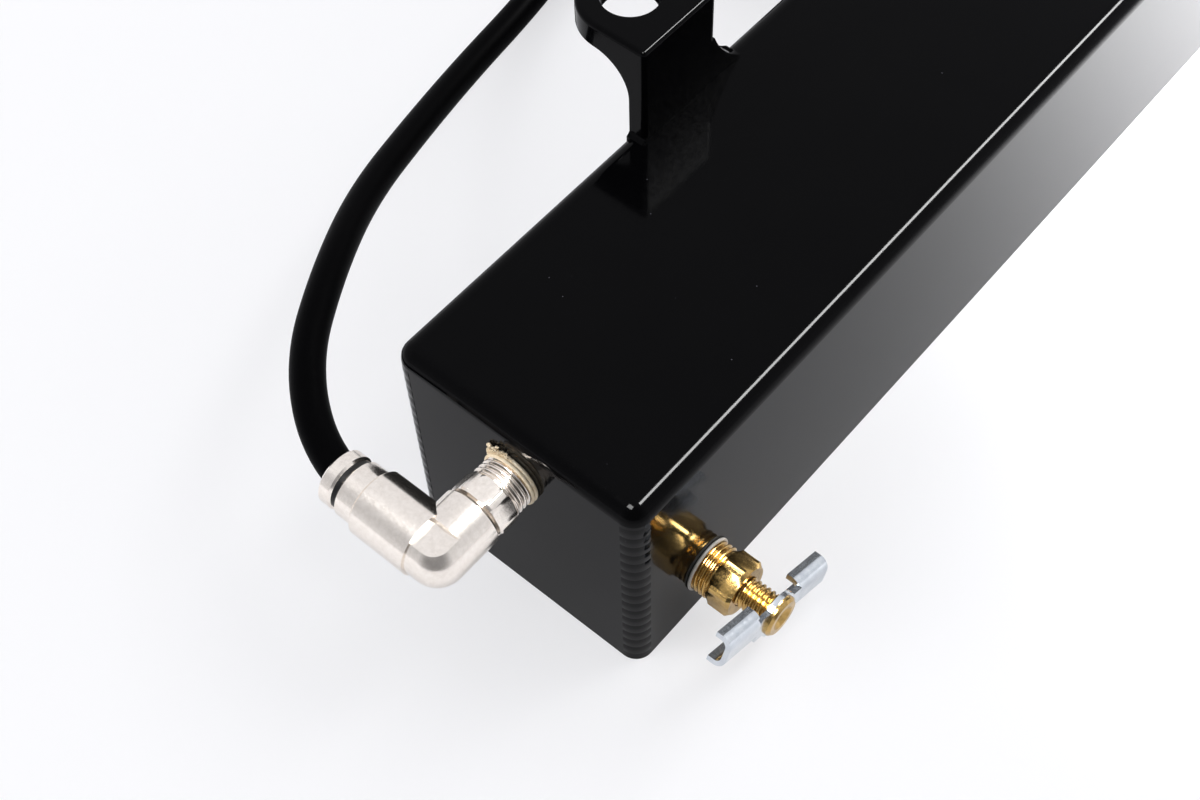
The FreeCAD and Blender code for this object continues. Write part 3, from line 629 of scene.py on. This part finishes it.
@dataclass
class Hose:
    """The hose from the elbow's socket to its coil.

    Attributes:
        route: Control points of its line up to the coil, in metres.
        diameter: Outer diameter.
        bore: Inner diameter.
        coil_centre: Middle of the coil on the floor.
        coil_diameter: Diameter of the coil at the middle of a turn.
        coil_turns: Number of turns.
        coil_points: Control points in a turn.
        rise: Height gained in a turn.
        length: Real length, in metres; not used.
        swivel_from: Where the hose would start to follow the elbow, in metres; not used.
        swivel_to: Where it would follow the elbow fully, in metres; not used.
        order: Order of the spline.
        steps: Steps of its line between two control points.
        columns: Points round the hose.
        hollow: Steps of its line that the open far end is hollow.
    """

    route: list[Point] = field(default_factory=lambda: [
        (-0.00512, -0.1452, 0.0374),
        (-0.0071, -0.1452, 0.0374),
        (-0.0255, -0.1452, 0.0374),
        (-0.0430, -0.1337, 0.0362),
        (-0.0570, -0.1145, 0.0315),
        (-0.0705, -0.0935, 0.0232),
        (-0.0802, -0.0700, 0.0152),
        (-0.0883, -0.0465, 0.0086),
        (-0.0940, -0.0220, 0.0046),
        (-0.0992, 0.0025, 0.0044),
        (-0.1050, 0.0265, 0.0044),
        (-0.1105, 0.0485, 0.0044),
    ])
    diameter: float = 6.35
    bore: float = 4.3
    coil_centre: tuple[float, float] = (-78.0, 58.0)
    coil_diameter: float = 70.0
    coil_turns: float = 3.0
    coil_points: int = 16
    rise: float = 6.35
    length: float = 0.902
    swivel_from: Point = (-0.0750, -0.0815, 0.0190)
    swivel_to: Point = (-0.024, -0.1452, 0.0374)
    order: int = 3
    steps: int = 10
    columns: int = 40
    hollow: int = 8

    def control_points(self) -> np.ndarray:
        """Route points and then the coil's, on a rising circle that the hose enters at its near left.

        The coil's points lie a little outside its circle, because the spline cuts their corners.

        Returns:
            Points in metres, n by 3.
        """
        route = np.array(self.route)
        centre = np.array(self.coil_centre) * MM
        entry = route[-1, :2] - centre
        start = math.atan2(entry[1], entry[0])
        step = 2 * math.pi / self.coil_points
        count = round(self.coil_turns * self.coil_points)
        turn = (np.arange(count) + 1) * step
        radius = self.coil_diameter / 2 * MM / math.sqrt(math.cos(step / 2))
        height = route[-1, 2] + self.rise * MM * turn / (2 * math.pi)
        across = centre[0] + radius * np.cos(start - turn)
        along = centre[1] + radius * np.sin(start - turn)
        coil = np.stack([across, along, height], axis=1)
        return np.concatenate([route, coil])

    def line(self) -> np.ndarray:
        """The hose's line, read from a smooth spline through its control points.

        Returns:
            Points in metres, n by 3.
        """
        control = self.control_points()
        curve = bpy.data.curves.new("hose_line", "CURVE")
        curve.dimensions = "3D"
        curve.resolution_u = self.steps
        spline = curve.splines.new("NURBS")
        spline.points.add(len(control) - 1)
        weighted = np.c_[control, np.ones(len(control))]
        spline.points.foreach_set("co", weighted.astype(np.float32).ravel())
        spline.order_u = self.order
        spline.use_endpoint_u = True
        drawn = bpy.data.objects.new("hose_line", curve)
        bpy.context.scene.collection.objects.link(drawn)
        bpy.context.view_layer.update()
        mesh = bpy.data.meshes.new_from_object(drawn)
        points = np.zeros(len(mesh.vertices) * 3, np.float32)
        mesh.vertices.foreach_get("co", points)
        bpy.data.objects.remove(drawn)
        bpy.data.meshes.remove(mesh)
        bpy.data.curves.remove(curve)
        return points.reshape(-1, 3).astype(float)

    def build(self) -> bpy.types.Object:
        """Makes the hose: a circle swept along its line, with a closed start and a hollow far end.

        Each point is the line's point plus the radius times the cosine of its angle along the level side
        direction and the sine along the direction square to both the line and that side.

        Returns:
            The object, in place of the CAD hose and its coil.
        """
        line = self.line()
        tangent = np.gradient(line, axis=0)
        tangent /= np.linalg.norm(tangent, axis=1)[:, None]
        side = np.cross(tangent, (0.0, 0.0, 1.0))
        side /= np.linalg.norm(side, axis=1)[:, None]
        over = np.cross(side, tangent)
        last = len(line) - 1
        hollow_end = last - self.hollow
        at = np.concatenate([[0], np.arange(len(line)), [last, hollow_end, hollow_end]])
        outer = self.diameter / 2 * MM
        inner = self.bore / 2 * MM
        radius = np.concatenate([[0.0], np.full(len(line), outer), [inner, inner, 0.0]])
        angle = np.linspace(0, 2 * math.pi, self.columns, endpoint=False)[None, :, None]
        spoke = np.cos(angle) * side[at][:, None, :] + np.sin(angle) * over[at][:, None, :]
        points = line[at][:, None, :] + radius[:, None, None] * spoke
        quads = lattice_quads(len(at), self.columns, rows_close=False, columns_close=True)
        made = mesh_object("hose_tube", points.reshape(-1, 3) / MM, quads)
        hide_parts("hose", "hose_coil")
        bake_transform(made)
        return made


@dataclass
class CoilTie:
    """The strap that holds the coil's turns together.

    Attributes:
        hose: The hose that it ties.
        angle: Place on the coil, from +X towards +Y.
        width: Width of the strap.
        thickness: Thickness of the strap.
        edge: Chamfer of its outer edges.
        fit: Gap between strap and hose.
        steps: Points over each half circle of its path.
    """

    hose: Hose
    angle: float = 20.0
    width: float = 5.0
    thickness: float = 1.0
    edge: float = 0.25
    fit: float = 0.15
    steps: int = 17

    def middle(self) -> Point:
        """The middle of the tied turns.

        Returns:
            The point, at the height of the middle turn there.
        """
        centre = np.array(self.hose.coil_centre)
        entry = np.array(self.hose.route[-1]) / MM
        start = math.degrees(math.atan2(entry[1] - centre[1], entry[0] - centre[0]))
        turned = (start - self.angle) % 360 / 360
        radius = self.hose.coil_diameter / 2
        turn = math.radians(self.angle)
        height = entry[2] + self.hose.rise * (turned + (self.hose.coil_turns - 1) / 2)
        return (centre[0] + radius * math.cos(turn), centre[1] + radius * math.sin(turn), height)

    def build(self) -> bpy.types.Object:
        """Makes the strap: a flat section swept round the stacked turns.

        The section's path is two half circles, over the top turn and under the bottom one, with straight
        runs between them.

        Returns:
            The object, riding on the can in place of its CAD node.
        """
        inner = self.hose.diameter / 2 + self.fit
        reach = self.hose.rise * (self.hose.coil_turns - 1) / 2
        half = self.width / 2
        section = np.array([(0.0, -half), (0.0, half), (self.thickness - self.edge, half),
                            (self.thickness, half - self.edge), (self.thickness, self.edge - half),
                            (self.thickness - self.edge, -half)])
        over = np.linspace(0, math.pi, self.steps)
        round_turn = np.concatenate([over, over + math.pi])[:, None]
        shift = np.repeat((reach, -reach), len(over))[:, None]
        wide = inner + section[None, :, 0]
        turn = math.radians(self.angle)
        outward = np.array((math.cos(turn), math.sin(turn), 0.0))
        along = np.array((-math.sin(turn), math.cos(turn), 0.0))
        up = np.array((0.0, 0.0, 1.0))
        side = wide * np.cos(round_turn)
        rise = shift + wide * np.sin(round_turn)
        across = section[None, :, 1] + 0 * side
        points = (np.array(self.middle()) + side[..., None] * outward + across[..., None] * along
                  + rise[..., None] * up)
        quads = lattice_quads(len(round_turn), len(section), rows_close=True, columns_close=True)
        made = mesh_object("coil_strap", points.reshape(-1, 3), quads, weld=True)
        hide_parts("coil_tie")
        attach(made, Body.CAN.value)
        return made


@dataclass
class FrayedSealant:
    """Set sealant that stands off the inlet's thread in crumbs at the upper left of its ring.

    Attributes:
        seat: Point on the front wall where the thread's axis starts.
        root: Radius that the crumbs are heaped on.
        tall: Height of the heap at its tallest.
        middle: Angle of the tallest place, from +Z towards the left.
        spread: Angle over which the heap falls away.
        reach: Smallest and largest angle of a crumb.
        crowd: Power that crowds the crumbs towards the root.
        off_wall: Distance from the wall at which the heap starts.
        deep: How far the heap reaches from there.
        thin: Share of that reach at the heap's ends.
        clear: Least distance of a crumb's surface from the wall.
        sizes: Half lengths of the smallest and the largest crumb.
        flat: Thickness of a crumb over its length.
        swell: Share by which a crumb's radius swells and shrinks.
        waves: Swells round a crumb, and half swells from its top to its bottom.
        phase: Largest phase of a swell, in radians.
        columns: Points round a crumb.
        rows: Points from its top to its bottom.
        sharp: Edges that turn more than this many degrees are sharp.
        count: Number of crumbs.
        seed: Start of the random numbers.
    """

    seat: Point = INLET_SEAT
    root: float = 5.25
    tall: float = 2.1
    middle: float = 34.0
    spread: float = 24.0
    reach: tuple[float, float] = (-28.0, 62.0)
    crowd: float = 1.3
    off_wall: float = 0.2
    deep: float = 0.75
    thin: float = 0.4
    clear: float = 0.02
    sizes: tuple[float, float] = (0.12, 0.34)
    flat: float = 0.45
    swell: float = 0.35
    waves: tuple[int, int] = (3, 4)
    phase: float = 6.28
    columns: int = 10
    rows: int = 7
    sharp: float = 60.0
    count: int = 150
    seed: int = 11

    def crumbs(self, chance: np.random.Generator) -> np.ndarray:
        """Shapes the crumbs about the origin.

        Each is a ball whose radius swells and shrinks by the product of two sines, made thin along one axis,
        scaled, and turned by a random rotation found from two random directions.

        Args:
            chance: Source of random numbers.

        Returns:
            Points, one block of rows by columns for each crumb.
        """
        turn = np.linspace(0, 2 * math.pi, self.columns, endpoint=False)[None, None, :]
        over = np.linspace(0, math.pi, self.rows)[None, :, None]
        phase = chance.uniform(0, self.phase, (2, self.count, 1, 1))
        round_wave = np.sin(self.waves[0] * turn + phase[0])
        over_wave = np.sin(self.waves[1] * over + phase[1])
        radius = 1 + self.swell * round_wave * over_wave * np.sin(over)
        level = radius * np.sin(over)
        height = self.flat * radius * np.cos(over)
        ball = np.stack([level * np.cos(turn), level * np.sin(turn), height], axis=-1)
        ball = ball * chance.uniform(*self.sizes, (self.count, 1, 1, 1))
        first = chance.normal(size=(self.count, 3))
        second = np.cross(first, chance.normal(size=(self.count, 3)))
        axes = np.stack([first, second, np.cross(first, second)], axis=1)
        axes /= np.linalg.norm(axes, axis=2)[:, :, None]
        return np.einsum("nuvi,nij->nuvj", ball, axes)

    def build(self) -> bpy.types.Object:
        """Heaps the crumbs round the thread.

        A crumb's height over the root is a random share of the heap's height there, which falls away from its
        middle as a bell curve of the angle.

        Returns:
            The object, riding on the can.
        """
        chance = np.random.default_rng(self.seed)
        crumbs = self.crumbs(chance)
        angle = np.clip(chance.normal(self.middle, self.spread, self.count), *self.reach)
        bell = np.exp(-((angle - self.middle) / self.spread) ** 2)
        radius = self.root + self.tall * bell * chance.uniform(0, 1, self.count) ** self.crowd
        share = self.thin + (1 - self.thin) * bell
        place = self.off_wall + self.deep * chance.uniform(0, 1, self.count) * share
        turn = np.radians(angle)
        middle = np.stack([-radius * np.sin(turn), -place, radius * np.cos(turn)], axis=1)
        points = np.array(self.seat) + middle[:, None, None, :] + crumbs
        points[..., 1] = np.minimum(points[..., 1], self.seat[1] - self.clear)
        one = lattice_quads(self.rows, self.columns, rows_close=False, columns_close=True)
        blocks = np.arange(self.count)[:, None, None] * self.rows * self.columns
        quads = (blocks + one).reshape(-1, 4)
        made = mesh_object("frayed_sealant", points.reshape(-1, 3), quads, sharp=self.sharp, weld=True)
        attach(made, Body.CAN.value)
        return made


class Seen(Enum):
    """What a softbox shows in."""

    ALL = "light and reflections"
    GLINT = "reflections only"
    FILL = "light only"


@dataclass(frozen=True)
class Softbox:
    """An area light.

    Attributes:
        name: Light name.
        place: Position, in metres.
        aim: Point it faces, in metres.
        size: Width and height, in metres.
        power: Power, in watts.
        seen: What it shows in.
    """

    name: str
    place: Point
    aim: Point
    size: tuple[float, float]
    power: float
    seen: Seen = Seen.ALL

    def build(self) -> None:
        """Adds the light to the scene."""
        data = bpy.data.lights.new(self.name, "AREA")
        data.shape = "RECTANGLE"
        data.size, data.size_y = self.size
        data.energy = self.power
        made = bpy.data.objects.new(self.name, data)
        bpy.context.scene.collection.objects.link(made)
        made.location = self.place
        made.visible_diffuse = self.seen is not Seen.GLINT
        made.visible_glossy = self.seen is not Seen.FILL
        made.visible_camera = False
        made.rotation_mode = "QUATERNION"
        made.rotation_quaternion = (Vector(self.aim) - Vector(self.place)).to_track_quat("-Z", "Y")


@dataclass
class Studio:
    """Camera, floor and soft light.

    Attributes:
        eye: Camera position, in metres.
        right: Camera's right direction.
        down: Camera's down direction.
        lens: Focal length, in millimetres.
        sensor: Width of the sensor, in millimetres.
        clip: Nearest and farthest distance that the camera sees, in metres.
        floor_reach: Half the floor's width.
        tint: Colour of the room's light, sRGB hex.
        level: Strength of the white room.
        dim_side: Direction of the dim side of the room, behind the camera.
        dim_level: Share of the room's light that is left there.
        dim_core: Angle from that direction within which the room is dimmest.
        dim_edge: Angle beyond which it isn't dimmed.
        softboxes: Lamps.
    """

    eye: Point = (0.111845, -0.226547, 0.284765)
    right: Point = (0.760423, 0.648901, -0.026158)
    down: Point = (0.531484, -0.644962, -0.549135)
    lens: float = 53.23
    sensor: float = 36.0
    clip: tuple[float, float] = (0.01, 20.0)
    floor_reach: float = 4000.0
    tint: str = "fbfbff"
    level: float = 0.87
    dim_side: Point = (0.50, -0.66, 0.56)
    dim_level: float = 0.3
    dim_core: float = 20.0
    dim_edge: float = 75.0
    softboxes: tuple[Softbox, ...] = (
        # High along the right: a strip that lights the can, and its stronger glint on the right top edge.
        Softbox("long_strip", (0.446, 0.85, 1.305), (0.0, 0.85, 0.0), (0.95, 0.3), 5.5),
        Softbox("edge_glint", (0.444, 0.85, 1.3), (0.0, 0.85, 0.0), (0.95, 0.3), 100.0, Seen.GLINT),
        # The bright spot on the near corner.
        Softbox("top_glint", (-0.01, -0.46, 1.08), (0.0, -0.12, 0.05), (0.4, 0.4), 27.0, Seen.GLINT),
        # Lifts the front end and its floor.
        Softbox("front_fill", (-0.35, -0.7, 0.45), (0.0, -0.1, 0.03), (0.5, 0.5), 2.8, Seen.FILL),
        # Low beside the right wall, over the floor that the wall's far end mirrors.
        Softbox("far_floor", (0.055, 0.15, 0.08), (0.055, 0.15, 0.0), (0.05, 0.2), 0.85, Seen.FILL),
    )

    def camera(self) -> bpy.types.Object:
        """Places the camera where the photograph was taken.

        Returns:
            The camera object.
        """
        data = bpy.data.cameras.new("camera")
        data.sensor_width = self.sensor
        data.lens = self.lens
        data.clip_start, data.clip_end = self.clip
        made = bpy.data.objects.new("camera", data)
        bpy.context.scene.collection.objects.link(made)
        right = Vector(self.right).normalized()
        up = -Vector(self.down).normalized()
        back = right.cross(up)
        turn = Matrix((right, up, back)).transposed()
        made.matrix_world = Matrix.Translation(self.eye) @ turn.to_4x4()
        bpy.context.scene.camera = made
        return made

    def floor(self) -> bpy.types.Object:
        """Makes the pale floor as one large square.

        Returns:
            The floor object.
        """
        square = np.array([(-1, -1, 0), (1, -1, 0), (1, 1, 0), (-1, 1, 0)], float) * self.floor_reach
        made = mesh_object("floor", square, np.array([[0, 1, 2, 3]]))
        made.data.materials.append(Finishes.WHITE_PAPER.value.material())
        return made

    def world(self) -> None:
        """Lights the room softly, dim behind the camera, and shows plain white where the camera sees it."""
        world = bpy.data.worlds.new("white_room")
        bpy.context.scene.world = world
        world.use_nodes = True
        tree = world.node_tree
        background = tree.nodes["Background"]
        background.inputs["Color"].default_value = linear(self.tint)
        direction = add_node(tree, "ShaderNodeTexCoord").outputs["Generated"]
        facing = add_node(tree, "ShaderNodeVectorMath", {"operation": "DOT_PRODUCT"}, {0: direction})
        facing.inputs[1].default_value = Vector(self.dim_side).normalized()
        edge = math.cos(math.radians(self.dim_edge))
        core = math.cos(math.radians(self.dim_core))
        level = add_node(tree, "ShaderNodeMapRange",
                         {"interpolation_type": "SMOOTHSTEP", "From Min": edge, "From Max": core,
                          "To Min": self.level, "To Max": self.level * self.dim_level},
                         {"Value": facing.outputs["Value"]})
        camera = add_node(tree, "ShaderNodeLightPath").outputs["Is Camera Ray"]
        shown = add_node(tree, "ShaderNodeMath", {"operation": "MAXIMUM"},
                         {0: level.outputs["Result"], 1: camera})
        tree.links.new(shown.outputs[0], background.inputs["Strength"])

    def build(self) -> None:
        """Sets up the whole studio and the plain view transform."""
        bpy.context.scene.view_settings.view_transform = "Standard"
        self.camera()
        self.floor()
        self.world()
        for softbox in self.softboxes:
            softbox.build()


@dataclass
class CatchCan:
    """The whole part: finishes on its CAD pieces and the pieces added to them.

    Attributes:
        nodes: CAD objects by node name.
        slots: Material slot of each node.
        materials: Materials made so far, by slot.
    """

    nodes: dict[str, bpy.types.Object]
    slots: dict[str, str]
    materials: dict[str, bpy.types.Material] = field(default_factory=dict)

    def material(self, slot: str) -> bpy.types.Material:
        """The material of a slot, made when first asked for.

        Args:
            slot: Material slot in the record.

        Returns:
            The material.
        """
        if slot not in self.materials:
            self.materials[slot] = Finishes[slot.upper()].value.material()
        return self.materials[slot]

    def paint(self) -> None:
        """Gives each CAD node its finish."""
        for name, node in self.nodes.items():
            node.data.materials.clear()
            node.data.materials.append(self.material(self.slots[name]))

    def stud(self) -> TurnedFitting:
        """The elbow's stud with its pipe thread.

        Returns:
            The fitting, ready to build.
        """
        end = PipeEnd(start=-6.0, end=4.65, small=4.806, large=5.139, near=5.0, far=9.1, chamfer=0.35)
        bore = 2.0
        spigot = 3.6
        spigot_end = 16.6
        return TurnedFitting(
            name="stud_with_thread", node="elbow_stud", slot=Finishes.NICKEL_PLATE, body=Body.CAN,
            seat=INLET_SEAT, outward=INLET_AXIS, hex_flats=10.2, hex_angle=-35.0, pitch=PIPE_PITCH,
            depth=0.55,
            outline=[(end.start, bore, Row.ROUND), *end.outline(), (end.far, spigot, Row.ROUND),
                     (spigot_end, spigot, Row.ROUND), (spigot_end, bore, Row.ROUND)])

    def valve_body(self) -> TurnedFitting:
        """The drain valve's body with its pipe thread.

        Returns:
            The fitting, ready to build.
        """
        end = PipeEnd(start=-6.0, end=3.25, small=4.85, large=5.139, near=3.6, far=8.6, chamfer=0.7)
        port = 1.5
        chamber = 3.05
        cone_mouth = -0.9
        cone_foot = -2.45
        return TurnedFitting(
            name="valve_body_with_thread", node="valve_body", slot=Finishes.VALVE_BRASS, body=Body.CAN,
            seat=DRAIN_SEAT, outward=DRAIN_AXIS, hex_flats=10.0, hex_angle=0.0, pitch=PIPE_PITCH, depth=0.45,
            outline=[(end.start, port, Row.ROUND), *end.outline(), (end.far, chamber, Row.ROUND),
                     (cone_mouth, chamber, Row.ROUND), (cone_foot, port, Row.ROUND)])

    def valve_stem(self) -> TurnedFitting:
        """The drain valve's stem with its screw and riveted end.

        Returns:
            The fitting, ready to build.
        """
        tip = 1.5
        tip_start = -2.35
        rod = 3.0
        rod_start = -0.85
        screw_start = 7.0
        collar = 2.9
        collar_start = 14.2
        waist = 2.5
        waist_start = 14.6
        rivet = 4.0
        rivet_start = 15.6
        rivet_edge = 0.5
        rivet_end = 16.6
        dish = 2.5
        dish_floor = 15.3
        drain = 0.9
        drain_floor = 2.15
        plain = Row.ROUND
        screw = Row.THREAD
        outline = [
            (tip_start, 0.0, plain),
            (tip_start, tip, plain),
            (rod_start, rod, plain),
            (screw_start, rod, screw),
            (collar_start, rod, screw),
            (collar_start, collar, plain),
            (waist_start, collar, plain),
            (waist_start, waist, plain),
            (rivet_start, waist, plain),
            (rivet_start, rivet, plain),
            (rivet_end - rivet_edge, rivet, plain),
            (rivet_end, rivet - rivet_edge, plain),
            (rivet_end, dish, plain),
            (dish_floor, drain, plain),
            (drain_floor, drain, plain),
            (drain_floor, 0.0, plain),
        ]
        return TurnedFitting(
            name="valve_stem_with_thread", node="valve_stem", slot=Finishes.VALVE_BRASS, body=Body.STEM,
            seat=DRAIN_SEAT, outward=DRAIN_AXIS, hex_flats=10.0, hex_angle=0.0, pitch=1.0, depth=0.4,
            outline=outline)

    def dress(self, made: bpy.types.Object, slot: str) -> None:
        """Gives an added piece its finish and logs its size.

        Args:
            made: The piece.
            slot: Material slot in the record.
        """
        made.data.materials.append(self.material(slot))
        LOG.info("%s: %d faces", made.name, len(made.data.polygons))

    def build(self) -> None:
        """Builds every added piece and paints everything."""
        self.paint()
        for fitting in (self.stud(), self.valve_body(), self.valve_stem()):
            made = fitting.build()
            slot = fitting.slot.name.lower()
            self.dress(made, slot)
        self.dress(FrayedSealant().build(), "tan_sealant")
        hose = Hose()
        for made in (CoilTie(hose).build(), hose.build()):
            self.dress(made, "black_nylon")


def corners(bounds: tuple[Vector, Vector]) -> list[list[float]]:
    """Plain lists of a box's corners.

    Args:
        bounds: Lowest and highest corner.

    Returns:
        Both corners as lists.
    """
    return [[float(value) for value in corner] for corner in bounds]


def main() -> None:
    """Loads the part, dresses it and sets up the studio."""
    logging.basicConfig(level=logging.INFO, format="%(message)s")
    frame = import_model()
    slots = {part["node"]: part["material_slot"] for part in frame["record"]["subparts"]}
    CatchCan(frame["nodes"], slots).build()
    Studio().build()
    LOG.info("built %d CAD nodes", len(frame["nodes"]))


if __name__ == "__main__":
    main()
